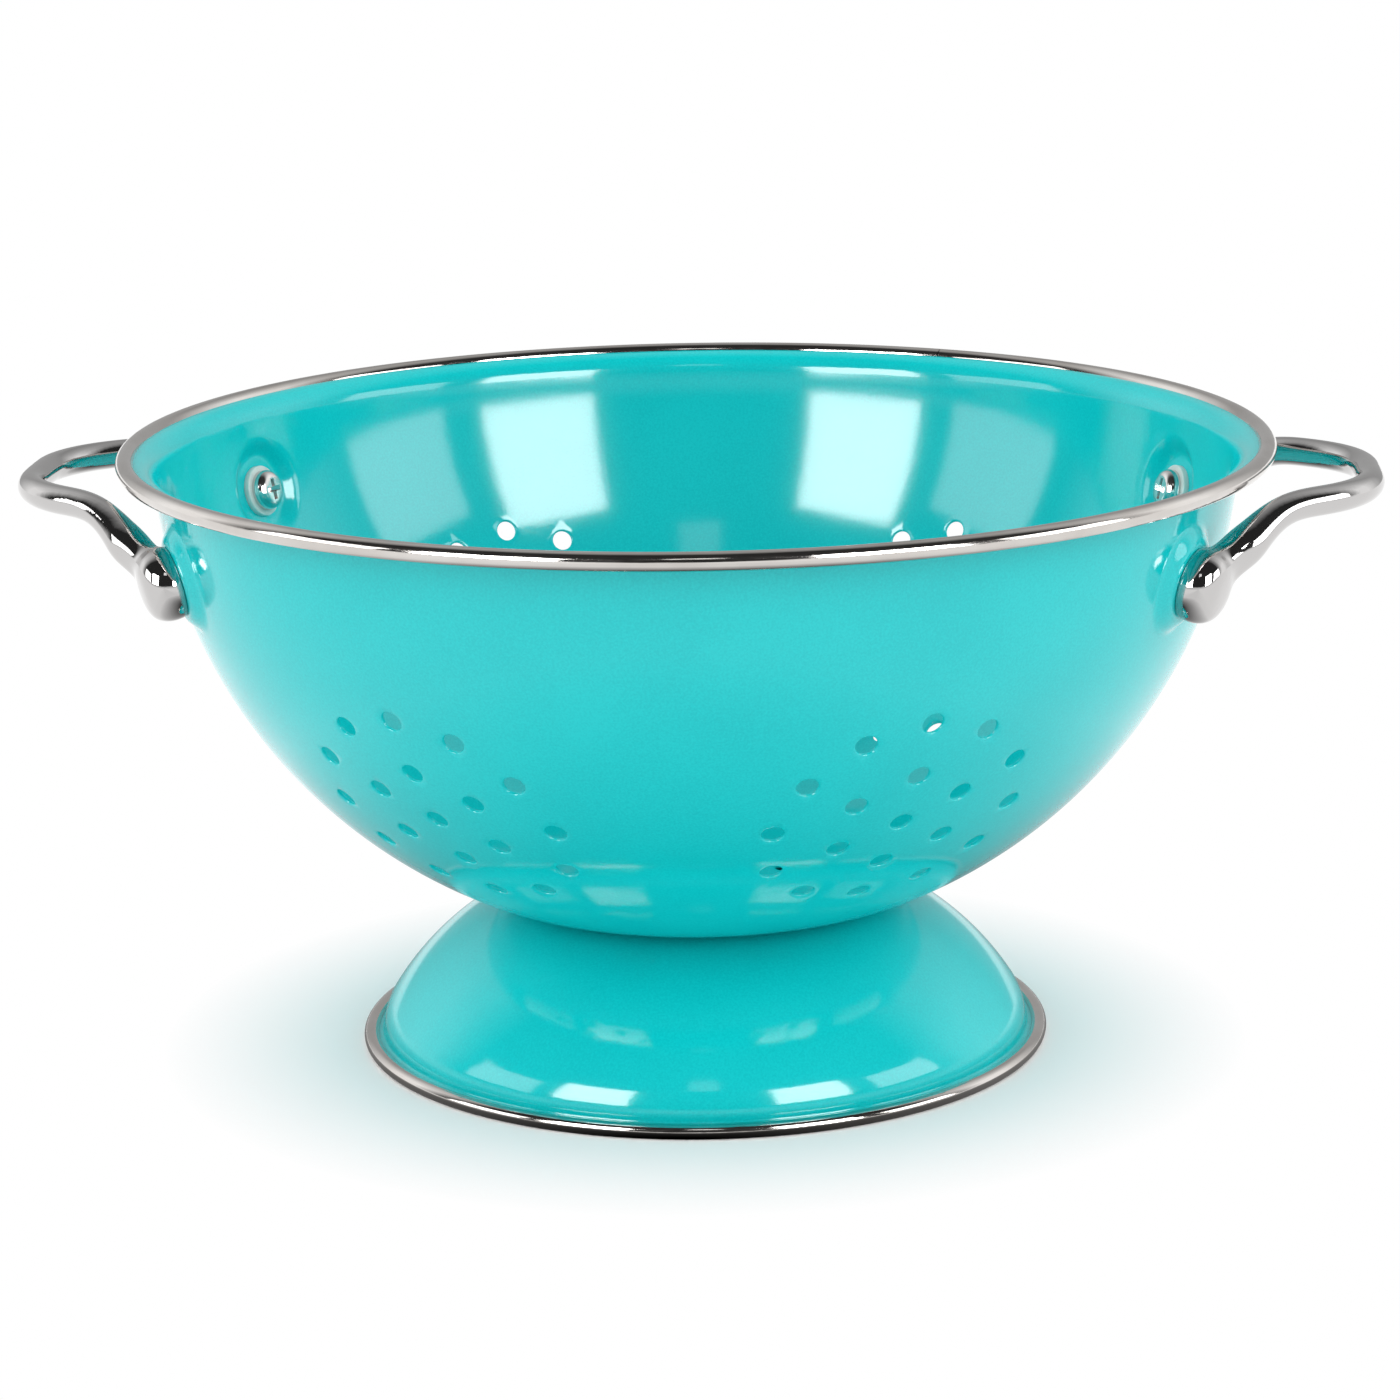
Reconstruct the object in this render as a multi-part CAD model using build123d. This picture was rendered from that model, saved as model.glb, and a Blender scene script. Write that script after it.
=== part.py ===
from build123d import *
from math import acos, cos, degrees, radians, sin, sqrt
import os

os.makedirs("parts", exist_ok=True)

# A footed, enamelled steel colander with two screwed-on cast handles, in millimetres.
# The origin is the centre of the resting face under the foot. The handles lie on the X axis,
# the front is towards -Y, and every angle is in degrees.

# Whole object
overall_height = 150.9
rim_diameter = 280.0
foot_diameter = 170.4
overrun = 6.0

# Bowl: one pressed sheet with a flat base, a rounded corner, a long side curve,
# a turned-out shoulder and a flat lip that the rim band grips
bowl_sheet = 1.0
bowl_base_height = 37.5
bowl_base_radius = 38.4
bowl_corner_turn = 26.7
bowl_top_heading = 85.0
bowl_shoulder_radius = 4.5
bowl_lip_overlap = 0.3

# Rolled steel strips: the beads that close the edges of the bowl and of the foot
rim_bead_radius = 2.2
foot_bead_radius = 1.9
strip_sheet = 0.45
jaw_margin = 0.2
seam_width = 0.25
rim_seam_azimuth = 66.0
foot_seam_azimuth = 90.0
rest_flat_depth = 0.2

# Pedestal: one pressed sheet with an inward flange under the bowl, a flared skirt and a small lip
pedestal_sheet = 1.0
flange_inner_radius = 33.0
flange_outer_radius = 41.0
neck_turn = 26.0
skirt_turn = 32.0
skirt_end_turn = 30.0
skirt_end_radius = 14.5
foot_flare_radius = 1.1
pedestal_lip_overlap = 0.35

# Drain holes: a centre hole with a ring of 6 and a ring of 12 round it
drain_bore = 5.2
drain_mouth_round = 0.35
mouth_round_share = 0.45
ring_counts = (6, 12)
ring_start_angles = (30.0, 0.0)
wall_ring_pitch = 15.3
base_ring_pitch = 11.5
wall_cluster_rise = 41.3
wall_cluster_azimuths = (60.0, 120.0, 240.0, 300.0)

# Handle pads: round seats pressed outwards from the bowl wall
handle_foot_azimuth = 24.5
handle_foot_drop = 22.2
pad_height = 2.0
pad_face_radius = 10.0
pad_root_radius = 13.0
pad_edge_round = 0.8
screw_clearance_bore = 5.5

# Cast handles: a round bar bent up and round, with a mushroom-shaped boss at each end
bar_diameter = 7.0
boss_diameter = 17.0
boss_thickness = 7.6
boss_round = 5.5
bar_root_depth = 3.5
loop_reach = 24.4
loop_drop = 8.0
loop_half_width = 21.0
loop_corner_radius = 29.9
shoulder_reach = 2.0
shoulder_drop = 8.3
shoulder_half_width = 36.9
shoulder_corner_radius = 21.4

# Handle screws and their sealing washers
screw_diameter = 5.0
screw_length = 8.0
screw_head_diameter = 10.3
screw_head_height = 3.2
screw_head_round = 2.1
recess_width = 1.4
recess_span = 5.4
recess_depth = 1.9
recess_taper_share = 0.45
thread_clearance = 0.05
thread_end_space = 0.6
washer_diameter = 13.0
washer_bore = 5.4
washer_thickness = 1.5
washer_edge_round = 0.35


def arc_shift(radius, heading, turn):
    """How far a tangent arc moves along and up: a positive turn bends to the left."""
    start = radians(heading)
    end = radians(heading + turn)
    side = 1 if turn > 0 else -1
    return side * radius * (sin(end) - sin(start)), side * radius * (cos(start) - cos(end))


def two_radii(first, second, along, up):
    """The radii of two tangent arcs, given as (heading, turn), that together move along and up."""
    a_along, a_up = arc_shift(1, *first)
    b_along, b_up = arc_shift(1, *second)
    spread = a_along * b_up - b_along * a_up
    return (along * b_up - b_along * up) / spread, (a_along * up - a_up * along) / spread


def tangent_run(start, flat, arcs, sheet):
    """One side of a bent sheet: a flat stretch, tangent arcs, and the flat lip.

    Each arc is (radius, turn). The sheet lies to the left of its outer side, so a side that is
    drawn with a sheet of zero is the outer one.
    """
    run = Line(start, (start[0] + flat[0], start[1]))
    edges = [run]
    for radius, turn in arcs:
        bend = radius - sheet if turn > 0 else radius + sheet
        run = JernArc(run @ 1, run % 1, bend, turn)
        edges.append(run)
    end = run @ 1
    edges.append(Line(end, (start[0] + flat[1], end.Y)))
    return edges


def bent_sheet(start, flat, arcs, sheet):
    """The round shell that a bent sheet makes when its outline turns about the Z axis."""
    outer = tangent_run(start, flat, arcs, 0)
    inner = tangent_run((start[0], start[1] + sheet), flat, arcs, sheet)
    ends = [Line(outer[0] @ 0, inner[0] @ 0), Line(outer[-1] @ 1, inner[-1] @ 1)]
    return revolve(Plane.XZ * make_face(outer + inner + ends), Axis.Z)


def jaw_reach(bead_radius, sheet):
    """From a bead's centre line to where its jaws meet the sheet between them."""
    return sqrt(bead_radius ** 2 - (sheet / 2) ** 2)


# Rim and bowl wall, worked out from the sizes above
rim_bead_centre = rim_diameter / 2 - rim_bead_radius
rim_lip_height = overall_height - rim_bead_radius
bowl_shoulder_end = rim_bead_centre - jaw_reach(rim_bead_radius, bowl_sheet) - jaw_margin
shoulder_along, shoulder_up = arc_shift(bowl_shoulder_radius, bowl_top_heading, -bowl_top_heading)
wall_top_radius = bowl_shoulder_end - shoulder_along
wall_top_height = rim_lip_height - bowl_sheet / 2 - shoulder_up
bowl_side_turn = bowl_top_heading - bowl_corner_turn
bowl_corner_radius, bowl_side_radius = two_radii(
    (0, bowl_corner_turn),
    (bowl_corner_turn, bowl_side_turn),
    wall_top_radius - bowl_base_radius,
    wall_top_height - bowl_base_height,
)
side_centre_radius = wall_top_radius - bowl_side_radius * sin(radians(bowl_top_heading))
side_centre_height = wall_top_height + bowl_side_radius * cos(radians(bowl_top_heading))

# Foot, worked out the same way
foot_bead_centre = foot_diameter / 2 - foot_bead_radius
foot_lip_height = foot_bead_radius - rest_flat_depth
flare_turn = neck_turn + skirt_turn + skirt_end_turn
flare_along, flare_up = arc_shift(foot_flare_radius, -flare_turn, flare_turn)
foot_flare_end = foot_bead_centre - jaw_reach(foot_bead_radius, pedestal_sheet) - jaw_margin
skirt_end_along, skirt_end_up = arc_shift(skirt_end_radius, -neck_turn - skirt_turn, -skirt_end_turn)
neck_radius, skirt_radius = two_radii(
    (0, -neck_turn),
    (-neck_turn, -skirt_turn),
    foot_flare_end - flare_along - skirt_end_along - flange_outer_radius,
    foot_lip_height + pedestal_sheet / 2 - flare_up - skirt_end_up - bowl_base_height,
)

# Where the handle feet meet the wall, and how far the wall curves away under a pad's root
handle_foot_height = rim_lip_height - handle_foot_drop
pad_wall_sag = bowl_side_radius - sqrt(bowl_side_radius ** 2 - pad_root_radius ** 2)


def wall_radius(height):
    return side_centre_radius + sqrt(bowl_side_radius ** 2 - (side_centre_height - height) ** 2)


def wall_plane(height, azimuth):
    """The plane that touches the outside of the bowl's side: Z points out of the wall, X sideways."""
    heading = acos((side_centre_height - height) / bowl_side_radius)
    radius = wall_radius(height)
    spin = radians(azimuth)
    outward = (sin(heading) * cos(spin), sin(heading) * sin(spin), -cos(heading))
    return Plane((radius * cos(spin), radius * sin(spin), height), (-sin(spin), cos(spin), 0), outward)


def height_up_the_wall(distance):
    """The height of the point that lies this far up the side, along the wall, from the cluster centre."""
    middle = acos((side_centre_height - bowl_base_height - wall_cluster_rise) / bowl_side_radius)
    return side_centre_height - bowl_side_radius * cos(middle + distance / bowl_side_radius)


def cluster_points(pitch):
    """A centre point and two rings round it, as sideways and upwards distances."""
    points = [(0, 0)]
    for ring, (count, start_angle) in enumerate(zip(ring_counts, ring_start_angles), start=1):
        for index in range(count):
            angle = radians(start_angle + 360 * index / count)
            points.append((ring * pitch * cos(angle), ring * pitch * sin(angle)))
    return points


def drain_punch(sheet):
    """The space of one drain hole about the Z axis, outside of the sheet at 0, with rounded mouths."""
    rounding = min(drain_mouth_round, mouth_round_share * sheet)
    bore = drain_bore / 2
    mouth = bore + rounding
    bottom = -sheet - overrun
    lower = CenterArc((mouth, rounding - sheet), rounding, 180, 90)
    upper = CenterArc((mouth, -rounding), rounding, 90, 90)
    outline = [
        lower,
        Line((bore, rounding - sheet), (bore, -rounding)),
        upper,
        Polyline((mouth, 0), (mouth, overrun), (0, overrun), (0, bottom), (mouth, bottom), (mouth, -sheet)),
    ]
    return revolve(Plane.XZ * make_face(outline), Axis.Z)


def wall_drains(azimuth):
    punch = drain_punch(bowl_sheet)
    tools = []
    for sideways, upwards in cluster_points(wall_ring_pitch):
        height = height_up_the_wall(upwards)
        swing = degrees(sideways / wall_radius(height))
        tools.append(wall_plane(height, azimuth + swing).location * punch)
    return tools


def base_drains():
    punch = drain_punch(bowl_sheet)
    turned = Location((0, 0, bowl_base_height), (180, 0, 0))
    return [turned * Pos(x, y, 0) * punch for x, y in cluster_points(base_ring_pitch)]


def pad_cone(sheet, root_depth):
    """One side of a handle pad about the Z axis: its face is at the pad height, less the sheet."""
    spread = (pad_root_radius - pad_face_radius) / (pad_height + pad_wall_sag)
    face_height = pad_height - sheet
    face_radius = pad_face_radius + sheet * (spread - sqrt(1 + spread ** 2))
    depth = face_height + root_depth
    root_radius = face_radius + depth * spread
    cone = Pos(0, 0, face_height - depth / 2) * Cone(root_radius, face_radius, depth)
    rounding = pad_edge_round if sheet == 0 else pad_edge_round / 2
    return fillet(cone.edges().sort_by(Axis.Z)[-1], rounding)


def handle_feet():
    """The wall planes of the four handle feet, by side and end."""
    height = handle_foot_height
    return {
        "right_front": wall_plane(height, -handle_foot_azimuth),
        "right_back": wall_plane(height, handle_foot_azimuth),
        "left_front": wall_plane(height, 180 + handle_foot_azimuth),
        "left_back": wall_plane(height, 180 - handle_foot_azimuth),
    }


def bowl():
    lip_end = rim_bead_centre + bowl_lip_overlap
    arcs = [
        (bowl_corner_radius, bowl_corner_turn),
        (bowl_side_radius, bowl_side_turn),
        (bowl_shoulder_radius, -bowl_top_heading),
    ]
    shell = bent_sheet((0, bowl_base_height), (bowl_base_radius, lip_end), arcs, bowl_sheet)
    for azimuth in wall_cluster_azimuths:
        shell -= wall_drains(azimuth)
    shell -= base_drains()
    for plane in handle_feet().values():
        shell += plane.location * pad_cone(0, pad_wall_sag + bowl_sheet / 2)
        shell -= plane.location * pad_cone(bowl_sheet, overrun)
        shell -= plane.location * Cylinder(screw_clearance_bore / 2, 2 * (pad_height + overrun))
    return shell


def edge_band(centre_radius, centre_height, bead_radius, sheet, seam_azimuth):
    """A strip rolled round a sheet's edge: a C section whose jaws close on the sheet, with a butt seam."""
    bead = Circle(bead_radius) - Circle(bead_radius - strip_sheet)
    bead -= Pos(-bead_radius, 0) * Rectangle(2 * bead_radius, sheet)
    band = revolve(Plane.XZ * Pos(centre_radius, centre_height) * bead, Axis.Z)
    gap = Box(2 * bead_radius + overrun, seam_width, 2 * bead_radius + overrun)
    return band - Rot(0, 0, seam_azimuth) * Pos(centre_radius, 0, centre_height) * gap


def bowl_rim_band():
    return edge_band(rim_bead_centre, rim_lip_height, rim_bead_radius, bowl_sheet, rim_seam_azimuth)


def pedestal_rim_band():
    """The foot's bead, cut flat underneath so that the colander stands on a narrow ring."""
    band = edge_band(foot_bead_centre, foot_lip_height, foot_bead_radius, pedestal_sheet, foot_seam_azimuth)
    below = Pos(0, 0, -overrun / 2) * Cylinder(foot_diameter, overrun)
    return band - below


def pedestal():
    lip_end = foot_bead_centre + pedestal_lip_overlap
    flat = (flange_outer_radius - flange_inner_radius, lip_end - flange_inner_radius)
    arcs = [
        (neck_radius, -neck_turn),
        (skirt_radius, -skirt_turn),
        (skirt_end_radius, -skirt_end_turn),
        (foot_flare_radius, flare_turn),
    ]
    return bent_sheet((flange_inner_radius, bowl_base_height), flat, arcs, -pedestal_sheet)


def boss():
    """A handle end about the Z axis, its flat face at 0 and its rounded back above."""
    blank = Pos(0, 0, boss_thickness / 2) * Cylinder(boss_diameter / 2, boss_thickness)
    return fillet(blank.edges().sort_by(Axis.Z)[-1], boss_round)


def handle_path():
    """The bar's centre line on the right side: straight runs joined by tangent arcs."""
    seat = wall_plane(handle_foot_height, handle_foot_azimuth)
    root = seat.origin + seat.z_dir * (pad_height + bar_root_depth)
    half = [
        root,
        Vector(rim_bead_centre + shoulder_reach, shoulder_half_width, rim_lip_height - shoulder_drop),
        Vector(rim_bead_centre + loop_reach, loop_half_width, rim_lip_height - loop_drop),
    ]
    mirrored = [Vector(point.X, -point.Y, point.Z) for point in reversed(half)]
    corners = [shoulder_corner_radius, loop_corner_radius, loop_corner_radius, shoulder_corner_radius]
    return FilletPolyline(*(half + mirrored), radius=corners)


def handle_right():
    path = handle_path()
    start = Plane(path @ 0, z_dir=path % 0)
    handle = sweep(start * Circle(bar_diameter / 2), path)
    shank_reach = screw_length - washer_thickness - bowl_sheet
    thread_depth = shank_reach + thread_end_space
    thread_radius = screw_diameter / 2 + thread_clearance
    feet = handle_feet()
    for end in ("right_front", "right_back"):
        handle += feet[end].location * Pos(0, 0, pad_height) * boss()
    for end in ("right_front", "right_back"):
        bore = Cylinder(thread_radius, 2 * thread_depth)
        handle -= feet[end].location * Pos(0, 0, pad_height) * bore
        face = Pos(0, 0, pad_height - overrun / 2) * Cylinder(boss_diameter, overrun)
        handle -= feet[end].location * face
    return handle


def handle_left():
    return Rot(0, 0, 180) * handle_right()


def screw():
    """A pan-head screw about the Z axis: the head's underside is at 0 and the shank points up."""
    head = Pos(0, 0, -screw_head_height / 2) * Cylinder(screw_head_diameter / 2, screw_head_height)
    head = fillet(head.edges().sort_by(Axis.Z)[0], screw_head_round)
    shank = Pos(0, 0, screw_length / 2) * Cylinder(screw_diameter / 2, screw_length)
    floor = Rectangle(recess_span * recess_taper_share, recess_width * recess_taper_share)
    mouth = Rectangle(recess_span, recess_width)
    slot = loft([Pos(0, 0, -screw_head_height) * mouth, Pos(0, 0, recess_depth - screw_head_height) * floor])
    return head + shank - slot - Rot(0, 0, 90) * slot


def washer():
    """A sealing washer about the Z axis: its upper face is at 0."""
    ring = Cylinder(washer_diameter / 2, washer_thickness) - Cylinder(washer_bore / 2, washer_thickness)
    circles = ring.edges().filter_by(GeomType.CIRCLE).group_by(SortBy.RADIUS)
    outer_edge = circles[-1].sort_by(Axis.Z)[0]
    return Pos(0, 0, -washer_thickness / 2) * fillet(outer_edge, washer_edge_round)


nodes = {
    "bowl": bowl(),
    "bowl_rim_band": bowl_rim_band(),
    "pedestal": pedestal(),
    "pedestal_rim_band": pedestal_rim_band(),
    "handle_left": handle_left(),
    "handle_right": handle_right(),
}
for end, plane in handle_feet().items():
    washer_seat = Pos(0, 0, pad_height - bowl_sheet)
    head_seat = Pos(0, 0, pad_height - bowl_sheet - washer_thickness)
    nodes["washer_" + end] = plane.location * washer_seat * washer()
    nodes["screw_" + end] = plane.location * head_seat * screw()

for name, shape in nodes.items():
    solids = shape.solids()
    shape.label = name
    export_step(shape, f"parts/{name}.step")
    print(name, len(solids), "solid", round(shape.volume), "mm3", shape.is_valid)

print("corner radius", round(bowl_corner_radius, 2), "side radius", round(bowl_side_radius, 2))
print("neck radius", round(neck_radius, 2), "skirt radius", round(skirt_radius, 2))
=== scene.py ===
# %% [markdown]
# # A footed enamel colander
# The colander is a deep bowl of pressed steel on a flared foot, both enamelled turquoise. Rolled
# steel strips close their raw edges, and two cast handles are screwed on from inside the bowl.
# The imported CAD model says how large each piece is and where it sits. Here each one gets its final
# mesh and finish.

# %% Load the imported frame
import math

import bmesh
import bpy
from mathutils import Matrix, Vector


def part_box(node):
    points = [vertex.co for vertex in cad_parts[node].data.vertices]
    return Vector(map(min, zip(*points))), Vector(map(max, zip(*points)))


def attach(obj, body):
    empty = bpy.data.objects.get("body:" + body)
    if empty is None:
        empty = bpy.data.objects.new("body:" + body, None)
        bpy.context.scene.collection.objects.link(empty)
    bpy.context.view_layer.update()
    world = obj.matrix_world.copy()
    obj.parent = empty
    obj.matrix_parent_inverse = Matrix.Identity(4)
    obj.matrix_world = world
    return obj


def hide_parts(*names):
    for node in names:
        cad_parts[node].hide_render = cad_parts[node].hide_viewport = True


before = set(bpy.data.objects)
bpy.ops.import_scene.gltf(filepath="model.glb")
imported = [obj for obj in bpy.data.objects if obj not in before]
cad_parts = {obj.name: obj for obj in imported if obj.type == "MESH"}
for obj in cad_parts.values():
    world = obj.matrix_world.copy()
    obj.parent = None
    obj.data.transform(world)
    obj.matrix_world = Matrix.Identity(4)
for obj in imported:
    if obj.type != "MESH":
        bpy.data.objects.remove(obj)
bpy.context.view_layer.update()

# %% [markdown]
# ## Sizes
# The large sizes are read from the frame's boxes. Sheet thicknesses, bend angles and hole sizes
# don't show in a box, so each is written once, where it is first needed, in millimetres times MM.

# %% Sizes of the bowl, its rim and its foot
MM = 0.001

rim_low, rim_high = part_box("bowl_rim_band")
foot_low, foot_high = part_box("pedestal_rim_band")
bowl_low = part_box("bowl")[0]

RIM_BEAD = (rim_high.z - rim_low.z) / 2
RIM_CENTRE = (rim_high.x - rim_low.x) / 2 - RIM_BEAD
RIM_HEIGHT = (rim_high.z + rim_low.z) / 2
FOOT_BEAD = 1.9 * MM
FOOT_CENTRE = (foot_high.x - foot_low.x) / 2 - FOOT_BEAD
FOOT_LIP_HEIGHT = foot_high.z - FOOT_BEAD
BASE_HEIGHT = bowl_low.z

SHEET = 1.0 * MM
STRIP = 0.45 * MM
JAW_MARGIN = 0.2 * MM
LIP_OVERLAP = 0.3 * MM
BASE_RADIUS = 38.4 * MM
CORNER_TURN = 26.7
TOP_HEADING = 85.0
SHOULDER_RADIUS = 4.5 * MM
print("rim", round(RIM_CENTRE, 4), "at", round(RIM_HEIGHT, 4), "foot", round(FOOT_CENTRE, 4))


# %% [markdown]
# ## The bowl's curve
# A pressed bowl is a flat base, a rounded corner, one long side curve and a small shoulder that
# turns out to a flat lip. The curves meet without a kink, so a highlight runs over them unbroken.
# Two tangent arcs that must reach a given point have only two unknown radii, and these come out
# of two linear equations.

# %% How far an arc moves, and the two radii
def arc_shift(radius, heading, turn):
    """How far a tangent arc moves along and up; a positive turn bends to the left."""
    start, end = math.radians(heading), math.radians(heading + turn)
    signed = math.copysign(radius, turn)
    return signed * (math.sin(end) - math.sin(start)), signed * (math.cos(start) - math.cos(end))


def two_radii(first, second, along, up):
    """The radii of two tangent arcs, each given as (heading, turn), that together move along and up."""
    a_along, a_up = arc_shift(1, *first)
    b_along, b_up = arc_shift(1, *second)
    spread = a_along * b_up - b_along * a_up
    return (along * b_up - b_along * up) / spread, (a_along * up - a_up * along) / spread


def jaw_reach(bead):
    """From a bead's centre line to where its jaws meet the sheet between them."""
    return math.sqrt(bead ** 2 - (SHEET / 2) ** 2)


SHOULDER_END = RIM_CENTRE - jaw_reach(RIM_BEAD) - JAW_MARGIN
shoulder_along, shoulder_up = arc_shift(SHOULDER_RADIUS, TOP_HEADING, -TOP_HEADING)
WALL_TOP_RADIUS = SHOULDER_END - shoulder_along
WALL_TOP_HEIGHT = RIM_HEIGHT - SHEET / 2 - shoulder_up
SIDE_TURN = TOP_HEADING - CORNER_TURN
CORNER_RADIUS, SIDE_RADIUS = two_radii(
    (0, CORNER_TURN), (CORNER_TURN, SIDE_TURN), WALL_TOP_RADIUS - BASE_RADIUS, WALL_TOP_HEIGHT - BASE_HEIGHT
)
SIDE_CENTRE_RADIUS = WALL_TOP_RADIUS - SIDE_RADIUS * math.sin(math.radians(TOP_HEADING))
SIDE_CENTRE_HEIGHT = WALL_TOP_HEIGHT + SIDE_RADIUS * math.cos(math.radians(TOP_HEADING))
print("corner radius", round(CORNER_RADIUS, 4), "side radius", round(SIDE_RADIUS, 4))


# %% [markdown]
# ## Places on the wall
# Drain holes and handle feet sit square to the curved wall. A matrix that stands on the wall, with
# its Z axis pointing straight out, lets each of them be made flat at the origin and then set there.

# %% A matrix that stands on the outside of the wall
def wall_radius(height):
    """The radius of the bowl's outer side at a height."""
    return SIDE_CENTRE_RADIUS + math.sqrt(SIDE_RADIUS ** 2 - (SIDE_CENTRE_HEIGHT - height) ** 2)


def wall_matrix(height, azimuth):
    """Stands on the wall: X runs sideways, Y up the wall and Z out of it."""
    heading = math.acos((SIDE_CENTRE_HEIGHT - height) / SIDE_RADIUS)
    spin = math.radians(azimuth)
    out = Vector((math.sin(heading) * math.cos(spin), math.sin(heading) * math.sin(spin), -math.cos(heading)))
    sideways = Vector((-math.sin(spin), math.cos(spin), 0))
    place = Vector((wall_radius(height) * math.cos(spin), wall_radius(height) * math.sin(spin), height))
    return Matrix.Translation(place) @ Matrix((sideways, out.cross(sideways), out)).transposed().to_4x4()


FOOT_DROP = 22.2 * MM
FOOT_AZIMUTH = 24.5
HANDLE_FEET = {
    "right_front": wall_matrix(RIM_HEIGHT - FOOT_DROP, -FOOT_AZIMUTH),
    "right_back": wall_matrix(RIM_HEIGHT - FOOT_DROP, FOOT_AZIMUTH),
    "left_front": wall_matrix(RIM_HEIGHT - FOOT_DROP, 180 + FOOT_AZIMUTH),
    "left_back": wall_matrix(RIM_HEIGHT - FOOT_DROP, 180 - FOOT_AZIMUTH),
}
print("handle feet", {name: [round(v, 4) for v in m.translation] for name, m in HANDLE_FEET.items()})


# %% [markdown]
# ## Mesh helpers
# Every round sheet starts as one vertex. Extruding it draws the straight stretches of its outline,
# spinning it draws the bends, and spinning the whole outline about Z makes the skin. A Solidify
# modifier then gives the skin the thickness of the sheet, which keeps both sides parallel.

# %% Draw an outline and spin it
FULL_TURN = 360.0
MERGE_DISTANCE = 0.001 * MM


def draw_outline(start, heading, moves):
    """An outline in the XZ plane. A move is (length,) or (radius, turn, steps)."""
    bm = bmesh.new()
    tip = bm.verts.new((start[0], 0, start[1]))
    angle = math.radians(heading)
    for move in moves:
        along = Vector((math.cos(angle), 0, math.sin(angle)))
        if len(move) == 1:
            tip = bmesh.ops.extrude_vert_indiv(bm, verts=[tip])["verts"][0]
            bmesh.ops.translate(bm, verts=[tip], vec=along * move[0])
        else:
            radius, turn, steps = move
            left = Vector((-along.z, 0, along.x))
            bend = math.radians(turn)
            centre = tip.co + left * math.copysign(radius, turn)
            spun = bmesh.ops.spin(bm, geom=[tip], cent=centre, axis=(0, -1, 0), angle=bend, steps=steps)
            tip = [item for item in spun["geom_last"] if isinstance(item, bmesh.types.BMVert)][0]
            angle += bend
    return bm


def spin_outline(bm, segments, angle=FULL_TURN):
    """Turns the outline about Z and closes the seam and the poles."""
    outline = bm.verts[:] + bm.edges[:]
    turn = math.radians(angle)
    whole = angle == FULL_TURN
    bmesh.ops.spin(
        bm, geom=outline, cent=(0, 0, 0), axis=(0, 0, 1), angle=turn, steps=segments, use_merge=whole
    )
    bmesh.ops.remove_doubles(bm, verts=bm.verts, dist=MERGE_DISTANCE)
    return bm


def face_away(bm, inner_point):
    """Turns every face away from the hollow side, which inner_point(place) points to."""
    bmesh.ops.recalc_face_normals(bm, faces=bm.faces)
    balance = 0
    for face in bm.faces:
        middle = face.calc_center_median()
        balance += face.normal.dot(middle - inner_point(middle)) * face.calc_area()
    if balance < 0:
        bmesh.ops.reverse_faces(bm, faces=bm.faces)
    return bm


print("outline helpers merge points closer than", MERGE_DISTANCE)

# %% [markdown]
# A finished piece has its place in its mesh, and its object stays at the origin. Its modifiers stay
# live until the tools that cut it are in place, and are then applied all at once.

# %% Make objects and apply modifiers
SHEET_CREASE = 40.0


def make_object(name, bm, material=None):
    """A smooth-shaded object at the origin, with its place in its mesh."""
    mesh = bpy.data.meshes.new(name)
    bm.to_mesh(mesh)
    bm.free()
    mesh.shade_smooth()
    if material:
        mesh.materials.append(material)
    piece = bpy.data.objects.new(name, mesh)
    bpy.context.scene.collection.objects.link(piece)
    return piece


def thicken(piece, thickness):
    """Gives a skin its sheet, on the side that its faces turn away from."""
    wall = piece.modifiers.new("sheet", "SOLIDIFY")
    wall.thickness = thickness
    wall.offset = -1
    wall.use_even_offset = True


def cut(piece, punch):
    """Cuts the punch out of the piece."""
    hole = piece.modifiers.new("cut", "BOOLEAN")
    hole.operation = "DIFFERENCE"
    hole.solver = "EXACT"
    hole.object = punch


def settle(piece, *tools, sharp=SHEET_CREASE):
    """Applies the piece's modifiers, marks real edges sharp and removes the tools."""
    graph = bpy.context.evaluated_depsgraph_get()
    mesh = bpy.data.meshes.new_from_object(piece.evaluated_get(graph))
    piece.modifiers.clear()
    piece.data = mesh
    mesh.set_sharp_from_angle(angle=math.radians(sharp))
    for tool in tools:
        bpy.data.objects.remove(tool)
    print(piece.name, len(mesh.polygons), "faces")
    return piece


print("edges above", SHEET_CREASE, "degrees are shaded sharp")
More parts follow.
